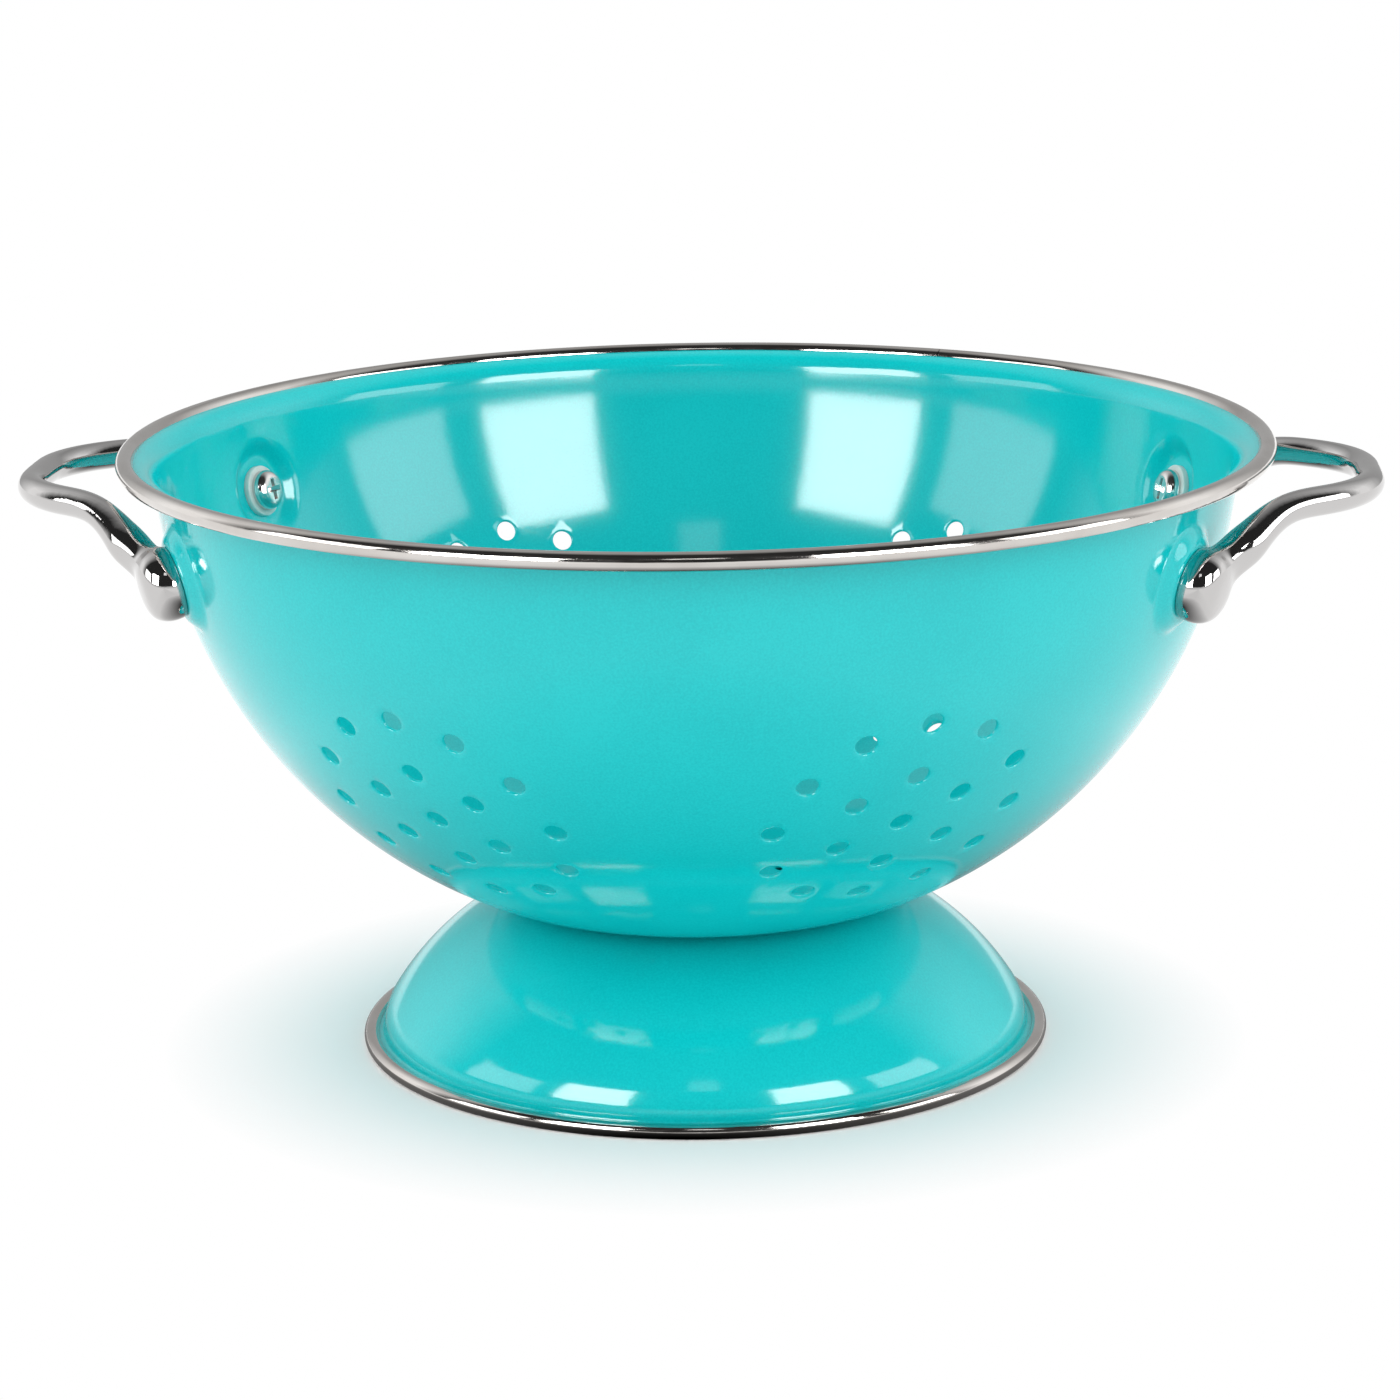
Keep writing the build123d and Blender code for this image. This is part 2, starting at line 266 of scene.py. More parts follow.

# %% [markdown]
# ## Finishes
# Every finish is a Principled material. The wobble that light gets from a poured, cast or moulded
# surface is one shared node group, which puts out only a height for a Bump node.

# %% The shared ripple group
def make_ripple_group():
    """Noise at two sizes, mixed: a broad swell and a fine grain."""
    group = bpy.data.node_groups.new("surface_ripple", "ShaderNodeTree")
    face = group.interface
    face.new_socket("Vector", in_out="INPUT", socket_type="NodeSocketVector")
    for name in ("Swell Scale", "Grain Scale", "Grain Share"):
        face.new_socket(name, in_out="INPUT", socket_type="NodeSocketFloat")
    face.new_socket("Height", in_out="OUTPUT", socket_type="NodeSocketFloat")
    inputs = group.nodes.new("NodeGroupInput")
    outputs = group.nodes.new("NodeGroupOutput")
    swell = group.nodes.new("ShaderNodeTexNoise")
    grain = group.nodes.new("ShaderNodeTexNoise")
    mix = group.nodes.new("ShaderNodeMix")
    swell.inputs["Detail"].default_value = 1.0
    grain.inputs["Detail"].default_value = 2.0
    link = group.links.new
    link(inputs.outputs["Vector"], swell.inputs["Vector"])
    link(inputs.outputs["Vector"], grain.inputs["Vector"])
    link(inputs.outputs["Swell Scale"], swell.inputs["Scale"])
    link(inputs.outputs["Grain Scale"], grain.inputs["Scale"])
    link(inputs.outputs["Grain Share"], mix.inputs[0])
    link(swell.outputs["Fac"], mix.inputs[2])
    link(grain.outputs["Fac"], mix.inputs[3])
    link(mix.outputs[0], outputs.inputs["Height"])
    return group


RIPPLE = make_ripple_group()
print("ripple group sockets", [item.name for item in RIPPLE.interface.items_tree])

# %% [markdown]
# Every material below is wired from the same few nodes. Noise gives a soft random height between
# zero and one, Map Range stretches the part of it that matters, and a Mix node turns that into a
# colour. These stay in each material, and only the ripple is a shared group.

# %% A fresh material and its nodes
def new_material(name, **values):
    """A material with only a Principled shader, its plain values set on the shader's own sockets."""
    material = bpy.data.materials.new(name)
    material.use_nodes = True
    shader = material.node_tree.nodes["Principled BSDF"]
    for socket, value in values.items():
        shader.inputs[socket.replace("_", " ")].default_value = value
    return material, material.node_tree, shader


def place_ripple(tree, vector, swell, grain, share, distance):
    """Puts the ripple group and a Bump node in a material and returns the Bump."""
    ripple = tree.nodes.new("ShaderNodeGroup")
    ripple.node_tree = RIPPLE
    ripple.inputs["Swell Scale"].default_value = swell
    ripple.inputs["Grain Scale"].default_value = grain
    ripple.inputs["Grain Share"].default_value = share
    bump = tree.nodes.new("ShaderNodeBump")
    bump.inputs["Distance"].default_value = distance
    tree.links.new(vector, ripple.inputs["Vector"])
    tree.links.new(ripple.outputs["Height"], bump.inputs["Height"])
    return bump


def noise(tree, vector, scale, detail):
    """A noise texture on a vector."""
    texture = tree.nodes.new("ShaderNodeTexNoise")
    texture.inputs["Scale"].default_value = scale
    texture.inputs["Detail"].default_value = detail
    tree.links.new(vector, texture.inputs["Vector"])
    return texture


def remap(tree, value, low, high, new_low, new_high):
    """Stretches a value from one range to another and clamps it."""
    node = tree.nodes.new("ShaderNodeMapRange")
    for socket, number in zip(("From Min", "From Max", "To Min", "To Max"), (low, high, new_low, new_high)):
        node.inputs[socket].default_value = number
    tree.links.new(value, node.inputs["Value"])
    return node.outputs["Result"]


def blend_colours(tree, factor, first, second):
    """Mixes two plain colours by a mask. A Mix node's colours are its sockets 6 and 7."""
    mix = tree.nodes.new("ShaderNodeMix")
    mix.data_type = "RGBA"
    mix.inputs[6].default_value = (*first, 1)
    mix.inputs[7].default_value = (*second, 1)
    tree.links.new(factor, mix.inputs[0])
    return mix.outputs[2]


print("noise, remap and colour helpers ready")

# %% [markdown]
# Enamel is glass melted on steel. It is dead smooth to the touch, but a reflection in it wobbles a
# little, like orange peel, and fine specks of pigment show close up. The specks and a broad cloud
# are added up in one mask between a deep and a light turquoise.

# %% Turquoise enamel
ENAMEL_DEEP = (0.001, 0.545, 0.57)
ENAMEL_LIGHT = (0.005, 0.62, 0.635)
ENAMEL_MASK = (0.5, 0.85)
SPECK_SCALE = 1900.0
CLOUD_SCALE = 34.0
CLOUD_SHARE = 0.35
PEEL_SWELL = 90.0
PEEL_GRAIN = 620.0
PEEL_GRAIN_SHARE = 0.35
PEEL_DEPTH = 0.05 * MM
PEEL_STRENGTH = 0.5


def make_enamel():
    material, tree, shader = new_material("turquoise_enamel", Roughness=0.1, IOR=1.52)
    place = tree.nodes.new("ShaderNodeTexCoord").outputs["Object"]
    specks = noise(tree, place, SPECK_SCALE, 3.0)
    cloud = noise(tree, place, CLOUD_SCALE, 1.0)
    both = tree.nodes.new("ShaderNodeMath")
    both.operation = "MULTIPLY_ADD"
    both.inputs[1].default_value = CLOUD_SHARE
    tree.links.new(cloud.outputs["Fac"], both.inputs[0])
    tree.links.new(specks.outputs["Fac"], both.inputs[2])
    mask = remap(tree, both.outputs[0], *ENAMEL_MASK, 0.0, 1.0)
    tree.links.new(blend_colours(tree, mask, ENAMEL_DEEP, ENAMEL_LIGHT), shader.inputs["Base Color"])
    bump = place_ripple(tree, place, PEEL_SWELL, PEEL_GRAIN, PEEL_GRAIN_SHARE, PEEL_DEPTH)
    bump.inputs["Strength"].default_value = PEEL_STRENGTH
    tree.links.new(bump.outputs["Normal"], shader.inputs["Normal"])
    return material


ENAMEL = make_enamel()
print("enamel", ENAMEL.name)

# %% [markdown]
# The edge strips are stainless steel, rolled round the lips by a machine. That leaves fine lines
# along the strip, so the noise is stretched along the circle: it is read on the radius and the
# height, and hardly on the angle.

# %% The place along the strip
LINE_STRETCH = 0.004


def combine(tree, operation, first, second):
    """A Math node on two links or plain numbers."""
    node = tree.nodes.new("ShaderNodeMath")
    node.operation = operation
    for value, socket in zip((first, second), node.inputs):
        if isinstance(value, (int, float)):
            socket.default_value = value
        else:
            tree.links.new(value, socket)
    return node.outputs[0]


def split(tree, vector):
    """The three parts of a vector."""
    parts = tree.nodes.new("ShaderNodeSeparateXYZ")
    tree.links.new(vector, parts.inputs[0])
    return parts.outputs


def join(tree, **parts):
    """A vector from the parts that are given, and zero for the others."""
    vector = tree.nodes.new("ShaderNodeCombineXYZ")
    for axis, value in parts.items():
        tree.links.new(value, vector.inputs[axis])
    return vector.outputs[0]


def length(tree, vector):
    """How long a vector is."""
    node = tree.nodes.new("ShaderNodeVectorMath")
    node.operation = "LENGTH"
    tree.links.new(vector, node.inputs[0])
    return node.outputs["Value"]


def along_strip(tree, place):
    """The place as radius, a much slowed angle, and height."""
    parts = split(tree, place)
    radius = length(tree, join(tree, X=parts["X"], Y=parts["Y"]))
    angle = combine(tree, "ARCTAN2", parts["Y"], parts["X"])
    return join(tree, X=radius, Y=combine(tree, "MULTIPLY", angle, LINE_STRETCH), Z=parts["Z"])


print("a turn of the strip counts as", round(2 * math.pi * LINE_STRETCH, 4), "m of noise")

# %% Rolled steel
STEEL_LIGHT = (0.64, 0.615, 0.59)
STEEL_DARK = (0.56, 0.525, 0.495)
STAIN_SCALE = 55.0
STAIN_MASK = (0.35, 0.7)
LINE_SCALE = 5200.0
LINE_MASK = (0.3, 0.7)
LINE_ROUGHNESS = (0.04, 0.14)
LINE_DEPTH = 0.02 * MM
LINE_STRENGTH = 0.25


def make_rolled_steel():
    material, tree, shader = new_material("rolled_steel", Metallic=1.0)
    place = tree.nodes.new("ShaderNodeTexCoord").outputs["Object"]
    lines = noise(tree, along_strip(tree, place), LINE_SCALE, 3.0)
    stains = noise(tree, place, STAIN_SCALE, 3.0)
    tint = remap(tree, stains.outputs["Fac"], *STAIN_MASK, 0.0, 1.0)
    tree.links.new(blend_colours(tree, tint, STEEL_LIGHT, STEEL_DARK), shader.inputs["Base Color"])
    roughness = remap(tree, lines.outputs["Fac"], *LINE_MASK, *LINE_ROUGHNESS)
    tree.links.new(roughness, shader.inputs["Roughness"])
    bump = tree.nodes.new("ShaderNodeBump")
    bump.inputs["Strength"].default_value = LINE_STRENGTH
    bump.inputs["Distance"].default_value = LINE_DEPTH
    tree.links.new(lines.outputs["Fac"], bump.inputs["Height"])
    tree.links.new(bump.outputs["Normal"], shader.inputs["Normal"])
    return material


ROLLED_STEEL = make_rolled_steel()
print("rolled steel", ROLLED_STEEL.name)

# %% [markdown]
# The handles are cast, tumbled and polished, then chromed. Polishing by hand leaves a soft swell,
# which bends the reflections into blotches, and a fine haze in places.

# %% Polished cast metal, and the screws' plating
HAZE_SCALE = 140.0
HAZE_MASK = (0.4, 0.75)
POLISH_GRAIN_TO_SWELL = 6
POLISH_GRAIN_SHARE = 0.12
POLISH_STRENGTH = 0.6


def make_polished(name, colour, swell, depth, roughness):
    material, tree, shader = new_material(name, Metallic=1.0, Base_Color=(*colour, 1))
    place = tree.nodes.new("ShaderNodeTexCoord").outputs["Object"]
    haze = noise(tree, place, HAZE_SCALE, 4.0)
    tree.links.new(remap(tree, haze.outputs["Fac"], *HAZE_MASK, *roughness), shader.inputs["Roughness"])
    bump = place_ripple(tree, place, swell, swell * POLISH_GRAIN_TO_SWELL, POLISH_GRAIN_SHARE, depth)
    bump.inputs["Strength"].default_value = POLISH_STRENGTH
    tree.links.new(bump.outputs["Normal"], shader.inputs["Normal"])
    return material


CAST_POLISH = make_polished("polished_casting", (0.53, 0.52, 0.515), 120.0, 0.22 * MM, (0.03, 0.09))
SCREW_PLATING = make_polished("screw_plating", (0.66, 0.655, 0.64), 500.0, 0.02 * MM, (0.1, 0.22))
print("polished metals", CAST_POLISH.name, SCREW_PLATING.name)

# %% [markdown]
# The sealing washers are a milky soft plastic. A little light passes into them, so they look paler
# at the edge than a painted disc would.

# %% Milky washer plastic
MILK_DEEP = (0.56, 0.66, 0.63)
MILK_LIGHT = (0.64, 0.72, 0.69)
MILK_SCALE = 420.0
MILK_MASK = (0.35, 0.65)
MILK_REACH = 1.5 * MM
MILK_REACH_BY_COLOUR = (0.8, 1.0, 0.95)
MOULD_SWELL = 700.0
MOULD_GRAIN = 3000.0
MOULD_GRAIN_SHARE = 0.4
MOULD_DEPTH = 0.03 * MM


def make_washer_plastic():
    material, tree, shader = new_material("milky_plastic", Roughness=0.35, IOR=1.45, Subsurface_Weight=0.5)
    shader.inputs["Subsurface Scale"].default_value = MILK_REACH
    shader.inputs["Subsurface Radius"].default_value = MILK_REACH_BY_COLOUR
    place = tree.nodes.new("ShaderNodeTexCoord").outputs["Object"]
    cloud = noise(tree, place, MILK_SCALE, 2.0)
    mask = remap(tree, cloud.outputs["Fac"], *MILK_MASK, 0.0, 1.0)
    tree.links.new(blend_colours(tree, mask, MILK_DEEP, MILK_LIGHT), shader.inputs["Base Color"])
    bump = place_ripple(tree, place, MOULD_SWELL, MOULD_GRAIN, MOULD_GRAIN_SHARE, MOULD_DEPTH)
    tree.links.new(bump.outputs["Normal"], shader.inputs["Normal"])
    return material


WASHER_PLASTIC = make_washer_plastic()
print("washer plastic", WASHER_PLASTIC.name)

# %% [markdown]
# ## The bowl
# The skin is spun from one outline. Where a handle pad is pressed out, the skin gets finer faces
# first, so that the press can bend it smoothly: a flat seat in the middle, a rounded flank, and the
# untouched wall outside.

# %% Spin the bowl's skin
BOWL_SEGMENTS = 256
BASE_RINGS = 4
SIDE_STEPS = 46
BEND_STEPS = 10
LIP_LENGTH = RIM_CENTRE + LIP_OVERLAP - SHOULDER_END


def bowl_skin():
    moves = [(BASE_RADIUS / BASE_RINGS,)] * BASE_RINGS
    moves += [(CORNER_RADIUS, CORNER_TURN, BEND_STEPS), (SIDE_RADIUS, SIDE_TURN, SIDE_STEPS)]
    moves += [(SHOULDER_RADIUS, -TOP_HEADING, BEND_STEPS), (LIP_LENGTH,)]
    bm = spin_outline(draw_outline((0, BASE_HEIGHT), 0, moves), BOWL_SEGMENTS)
    return face_away(bm, lambda place: Vector((0, 0, RIM_HEIGHT)))


print("the bowl's skin ends in a lip of", round(LIP_LENGTH, 5))

# %% Press the four handle pads outwards
PAD_HEIGHT = 2.0 * MM
PAD_FACE_RADIUS = 9.0 * MM
PAD_ROOT_RADIUS = 14.0 * MM
PAD_REACH = 19.0 * MM
PAD_MARGIN = BASE_RADIUS / 8
PAD_CUTS = 3


def press_pad(bm, foot):
    """Refines the wall round one handle foot and presses a flat seat out of it."""
    near = [f for f in bm.faces if (f.calc_center_median() - foot.translation).length < PAD_REACH]
    edges = {edge for face in near for edge in face.edges}
    bmesh.ops.subdivide_edges(bm, edges=list(edges), cuts=PAD_CUTS, use_grid_fill=True)
    to_foot = foot.inverted()
    for vert in bm.verts:
        if (vert.co - foot.translation).length > PAD_REACH + PAD_MARGIN:
            continue
        if vert.co.z < WALL_TOP_HEIGHT:
            vert.co.xy *= wall_radius(vert.co.z) / vert.co.xy.length
        place = to_foot @ vert.co
        away = place.xy.length
        if away < PAD_ROOT_RADIUS:
            share = min(1, max(0, (PAD_ROOT_RADIUS - away) / (PAD_ROOT_RADIUS - PAD_FACE_RADIUS)))
            share = share * share * (3 - 2 * share)
            place.z += share * (PAD_HEIGHT - place.z)
            vert.co = foot @ place


print("each pad stands", PAD_HEIGHT, "proud and is", 2 * PAD_FACE_RADIUS, "across its seat")

# %% [markdown]
# ## Drain holes
# The holes are punched before the enamel goes on, and the enamel rounds their edges. The punch has
# that rounding in its own outline, so one cut leaves a hole with soft lips on both sides. Each
# cluster is a hole with two rings round it: four clusters on the wall and one in the base.

# %% The places of the drain holes
RING_COUNTS = (6, 12)
RING_START_ANGLES = (30.0, 0.0)
WALL_RING_PITCH = 15.3 * MM
BASE_RING_PITCH = 11.5 * MM
CLUSTER_RISE = 41.3 * MM
CLUSTER_AZIMUTHS = (60.0, 120.0, 240.0, 300.0)


def cluster_points(pitch):
    """A centre point and two rings round it."""
    points = [(0, 0)]
    for ring, (count, start) in enumerate(zip(RING_COUNTS, RING_START_ANGLES), start=1):
        for index in range(count):
            angle = math.radians(start + 360 * index / count)
            points.append((ring * pitch * math.cos(angle), ring * pitch * math.sin(angle)))
    return points


def drain_matrices():
    """A matrix for each drain hole, its Z axis pointing out of the sheet."""
    places = []
    middle = math.acos((SIDE_CENTRE_HEIGHT - BASE_HEIGHT - CLUSTER_RISE) / SIDE_RADIUS)
    for azimuth in CLUSTER_AZIMUTHS:
        for sideways, upwards in cluster_points(WALL_RING_PITCH):
            height = SIDE_CENTRE_HEIGHT - SIDE_RADIUS * math.cos(middle + upwards / SIDE_RADIUS)
            swing = math.degrees(sideways / wall_radius(height))
            places.append(wall_matrix(height, azimuth + swing))
    for x, y in cluster_points(BASE_RING_PITCH):
        places.append(Matrix.Translation((x, y, BASE_HEIGHT)) @ Matrix.Rotation(math.pi, 4, "X"))
    return places


print("drain holes", len(drain_matrices()))

# %% One drain punch
DRAIN_RADIUS = 2.6 * MM
LIP_ROUND = 0.42 * MM
LIP_TURN = 75
LIP_STEPS = 5
FLARE_RUN = 0.5 * MM
PUNCH_REACH = 3.0 * MM
PUNCH_SEGMENTS = 28


def drain_punch():
    """A closed punch about Z, narrow in the sheet and flared at both of its sides."""
    turn = math.radians(LIP_TURN)
    flare = LIP_ROUND * (1 - math.cos(turn))
    start_radius = DRAIN_RADIUS + flare + FLARE_RUN * math.sin(turn)
    start_height = -SHEET + LIP_ROUND * (1 - math.sin(turn)) - FLARE_RUN * math.cos(turn)
    straight = SHEET - 2 * LIP_ROUND
    bend = (LIP_ROUND, -LIP_TURN, LIP_STEPS)
    moves = [(FLARE_RUN,), bend, (straight,), bend, (FLARE_RUN,)]
    bm = draw_outline((start_radius, start_height), 90 + LIP_TURN, moves)
    ends = [v for v in bm.verts if len(v.link_edges) == 1]
    low, high = sorted(ends, key=lambda v: v.co.z)
    for end, height in ((low, -SHEET - PUNCH_REACH), (high, PUNCH_REACH)):
        far = bmesh.ops.extrude_vert_indiv(bm, verts=[end])["verts"][0]
        far.co.z = height
        axis = bmesh.ops.extrude_vert_indiv(bm, verts=[far])["verts"][0]
        axis.co.x = 0
    spin_outline(bm, PUNCH_SEGMENTS)
    bmesh.ops.recalc_face_normals(bm, faces=bm.faces)
    return bm


def only_verts(items):
    return [item for item in items if isinstance(item, bmesh.types.BMVert)]


def place_copies(bm, matrices):
    """Sets a copy of the mesh at each matrix and drops the first one."""
    pattern = bm.verts[:] + bm.edges[:] + bm.faces[:]
    for matrix in matrices:
        copy = bmesh.ops.duplicate(bm, geom=pattern)["geom"]
        bmesh.ops.transform(bm, matrix=matrix, verts=only_verts(copy))
    bmesh.ops.delete(bm, geom=only_verts(pattern), context="VERTS")
    return bm


print("a drain hole is", 2 * DRAIN_RADIUS, "across between its lips")

# %% Make the bowl
SCREW_HOLE_RADIUS = 2.75 * MM
SCREW_HOLE_REACH = 16.0 * MM
DRILL_SEGMENTS = 32


def drill_out(piece, radius, depth, matrices):
    """Cuts a straight hole at each matrix and returns the drills, which settle takes away."""
    drill = bmesh.new()
    bmesh.ops.create_cone(
        drill, cap_ends=True, segments=DRILL_SEGMENTS, radius1=radius, radius2=radius, depth=depth
    )
    drills = make_object(piece.name + "_drills", place_copies(drill, matrices))
    cut(piece, drills)
    return drills


def make_bowl():
    bm = bowl_skin()
    for foot in HANDLE_FEET.values():
        press_pad(bm, foot)
    bowl = make_object("bowl_enamelled", bm, ENAMEL)
    thicken(bowl, SHEET)
    punches = make_object("drain_punches", place_copies(drain_punch(), drain_matrices()))
    cut(bowl, punches)
    drills = drill_out(bowl, SCREW_HOLE_RADIUS, SCREW_HOLE_REACH, HANDLE_FEET.values())
    return settle(bowl, punches, drills)


bowl = make_bowl()
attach(bowl, "root")
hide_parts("bowl")

# %% [markdown]
# ## The pedestal
# The foot is a second pressing: a flange that lies flat under the bowl's base, a neck, a skirt that
# gets steeper as it goes down, and a small flare that ends in a lip for the lower strip.

# %% Make the pedestal
FLANGE_INNER_RADIUS = 33.0 * MM
FLANGE_OUTER_RADIUS = 41.0 * MM
NECK_TURN = 26.0
SKIRT_TURN = 32.0
SKIRT_END_TURN = 30.0
SKIRT_END_RADIUS = 14.5 * MM
SKIRT_STEPS = 20
FLARE_RADIUS = 1.1 * MM


def make_pedestal():
    flare_turn = NECK_TURN + SKIRT_TURN + SKIRT_END_TURN
    flare_along, flare_up = arc_shift(FLARE_RADIUS, -flare_turn, flare_turn)
    end_along, end_up = arc_shift(SKIRT_END_RADIUS, -NECK_TURN - SKIRT_TURN, -SKIRT_END_TURN)
    flare_end = FOOT_CENTRE - jaw_reach(FOOT_BEAD) - JAW_MARGIN
    neck_radius, skirt_radius = two_radii(
        (0, -NECK_TURN),
        (-NECK_TURN, -SKIRT_TURN),
        flare_end - flare_along - end_along - FLANGE_OUTER_RADIUS,
        FOOT_LIP_HEIGHT + SHEET / 2 - flare_up - end_up - BASE_HEIGHT,
    )
    moves = [(FLANGE_OUTER_RADIUS - FLANGE_INNER_RADIUS,)]
    moves += [(neck_radius, -NECK_TURN, BEND_STEPS), (skirt_radius, -SKIRT_TURN, SKIRT_STEPS)]
    moves += [(SKIRT_END_RADIUS, -SKIRT_END_TURN, BEND_STEPS), (FLARE_RADIUS, flare_turn, BEND_STEPS)]
    moves += [(FOOT_CENTRE + LIP_OVERLAP - flare_end,)]
    bm = spin_outline(draw_outline((FLANGE_INNER_RADIUS, BASE_HEIGHT), 0, moves), BOWL_SEGMENTS)
    face_away(bm, lambda place: Vector((0, 0, -BASE_HEIGHT)))
    pedestal = make_object("pedestal_enamelled", bm, ENAMEL)
    thicken(pedestal, SHEET)
    return settle(pedestal)


pedestal = make_pedestal()
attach(pedestal, "root")
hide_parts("pedestal")

# %% [markdown]
# ## The rolled edge strips
# A strip is bent round the edge into a bead whose two jaws close on the lip. Its ends meet in a butt
# seam, so the spin stops just short of a full turn. The lower bead is worn flat where it stands.

# %% Make both strips
SEAM_WIDTH = 0.25 * MM
RIM_SEAM_AZIMUTH = 66.0
FOOT_SEAM_AZIMUTH = 90.0
BEAD_STEPS = 40


def make_strip(name, centre, height, bead, seam_azimuth):
    jaw = math.degrees(math.asin(SHEET / 2 / bead))
    start = (centre - jaw_reach(bead), height + SHEET / 2)
    gap = math.degrees(SEAM_WIDTH / centre)
    bm = draw_outline(start, 90 - jaw, [(bead, 2 * jaw - FULL_TURN, BEAD_STEPS)])
    spin_outline(bm, BOWL_SEGMENTS, FULL_TURN - gap)
    to_seam = Matrix.Rotation(math.radians(seam_azimuth + gap / 2), 3, "Z")
    bmesh.ops.rotate(bm, verts=bm.verts, cent=(0, 0, 0), matrix=to_seam)
    for vert in bm.verts:
        vert.co.z = max(vert.co.z, 0)

    def bead_line(place):
        ring = Vector((place.x, place.y, 0)).normalized() * centre
        return Vector((ring.x, ring.y, height))

    strip = make_object(name, face_away(bm, bead_line), ROLLED_STEEL)
    thicken(strip, STRIP)
    return settle(strip)


strips = {
    "bowl_rim_band": make_strip("rim_strip", RIM_CENTRE, RIM_HEIGHT, RIM_BEAD, RIM_SEAM_AZIMUTH),
    "pedestal_rim_band": make_strip("foot_strip", FOOT_CENTRE, FOOT_LIP_HEIGHT, FOOT_BEAD, FOOT_SEAM_AZIMUTH),
}
for node, strip in strips.items():
    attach(strip, "root")
    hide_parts(node)

# %% [markdown]
# ## The cast handles
# A casting has no sharp joins: the bar swells into the boss. That is quick to get from a coarse cage
# under a Subdivision Surface. The bar is a chain of eight-sided rings, the boss a twelve-sided
# button with a two-by-two block of faces left out of its side, and a bridge joins the last ring to
# the block's eight vertices. The bar runs straight between tangent bends, as a bent rod does.

# %% The bar's route
BAR_RADIUS = 3.5 * MM
BAR_ROOT_DEPTH = 3.5 * MM
SHOULDER_POINT = (2.0 * MM, 36.9 * MM, -8.3 * MM)
LOOP_POINT = (24.4 * MM, 21.0 * MM, -8.0 * MM)
SHOULDER_BEND = 21.4 * MM
LOOP_BEND = 29.9 * MM
STATION_GAP = 5.0 * MM


def rim_offset(offset):
    """A point given by its place from the rim's centre line, on the right side."""
    return Vector((RIM_CENTRE + offset[0], offset[1], RIM_HEIGHT + offset[2]))


def bar_corners():
    foot = HANDLE_FEET["right_back"]
    root = foot @ Vector((0, 0, PAD_HEIGHT + BAR_ROOT_DEPTH))
    half = [root, rim_offset(SHOULDER_POINT), rim_offset(LOOP_POINT)]
    return half + [Vector((p.x, -p.y, p.z)) for p in reversed(half)]


def bar_stations():
    """Points along straight runs and tangent bends, about one station gap apart."""
    corners = bar_corners()
    bends = [SHOULDER_BEND, LOOP_BEND, LOOP_BEND, SHOULDER_BEND]
    places = [corners[0]]
    for before, corner, after, bend in zip(corners, corners[1:], corners[2:], bends):
        come, go = (corner - before).normalized(), (after - corner).normalized()
        turn = come.angle(go)
        setback = bend * math.tan(turn / 2)
        centre = corner + (go - come).normalized() * bend / math.cos(turn / 2)
        first = corner - come * setback
        steps = max(2, round(bend * turn / STATION_GAP))
        arm = first - centre
        for index in range(steps + 1):
            swing = Matrix.Rotation(turn * index / steps, 3, come.cross(go))
            places.append(centre + swing @ arm)
    places.append(corners[-1])
    filled = [places[0]]
    for place in places[1:]:
        gap = place - filled[-1]
        pieces = max(1, round(gap.length / STATION_GAP))
        start = filled[-1]
        filled += [start + gap * (index + 1) / pieces for index in range(pieces)]
    return filled


print("bar stations", len(bar_stations()))

# %% [markdown]
# Subdivision pulls a ring in, because each corner settles between its neighbours: an eight-sided
# ring keeps about 0.902 of its radius and a twelve-sided one about 0.955. The cage is made larger
# by that. Each ring of the boss has its height above the pad and its radius.

# %% The boss and the gap that the bar comes out of
BOSS_SIDES = 12
BOSS_SHRINK = 0.955
BOSS_SWELL = 1 / BOSS_SHRINK
BOSS_RINGS = (
    (0.0 * MM, 7.9 * MM),
    (0.0 * MM, 8.5 * MM),
    (0.7 * MM, 8.75 * MM),
    (3.9 * MM, 8.9 * MM),
    (7.4 * MM, 7.3 * MM),
    (8.6 * MM, 3.6 * MM),
)
GAP_LOW = BOSS_RINGS[2][0]
GAP_HIGH = BOSS_RINGS[4][0]
GAP_HALF_ANGLE = 31
ON_PAD = Matrix.Translation((0, 0, PAD_HEIGHT))


def add_ring(bm, matrix, radius, sides):
    made = bmesh.ops.create_circle(bm, cap_ends=False, radius=radius, segments=sides, matrix=matrix)
    return made["verts"]


def ring_edges(verts):
    inside = set(verts)
    return list({edge for vert in verts for edge in vert.link_edges if edge.other_vert(vert) in inside})


def bridge_rings(bm, rings):
    for lower, upper in zip(rings, rings[1:]):
        bmesh.ops.bridge_loops(bm, edges=ring_edges(lower) + ring_edges(upper))


def open_gap(bm, rings, to_seat):
    """Takes out the block of faces on the boss's X side and returns its eight border edges."""
    gone = []
    for face in {face for ring in rings for vert in ring for face in vert.link_faces}:
        middle = to_seat @ face.calc_center_median()
        swing = abs(math.degrees(math.atan2(middle.y, middle.x)))
        if GAP_LOW < middle.z < GAP_HIGH and swing < GAP_HALF_ANGLE and len(face.verts) == 4:
            gone.append(face)
    border = {edge for face in gone for edge in face.edges if sum(f in gone for f in edge.link_faces) == 1}
    bmesh.ops.delete(bm, geom=gone, context="FACES")
    return [edge for edge in border if edge.is_valid]


def add_boss(bm, foot, towards):
    """The twelve-sided button on its pad, open on the side that faces towards a point."""
    seat = foot @ ON_PAD
    local = seat.inverted() @ towards
    turned = seat @ Matrix.Rotation(math.atan2(local.y, local.x), 4, "Z")
    rings = []
    for height, radius in BOSS_RINGS:
        level = turned @ Matrix.Translation((0, 0, height))
        rings.append(add_ring(bm, level, radius * BOSS_SWELL, BOSS_SIDES))
    bridge_rings(bm, rings)
    for ring in (rings[0], rings[-1]):
        bmesh.ops.contextual_create(bm, geom=ring)
    return open_gap(bm, rings, turned.inverted())


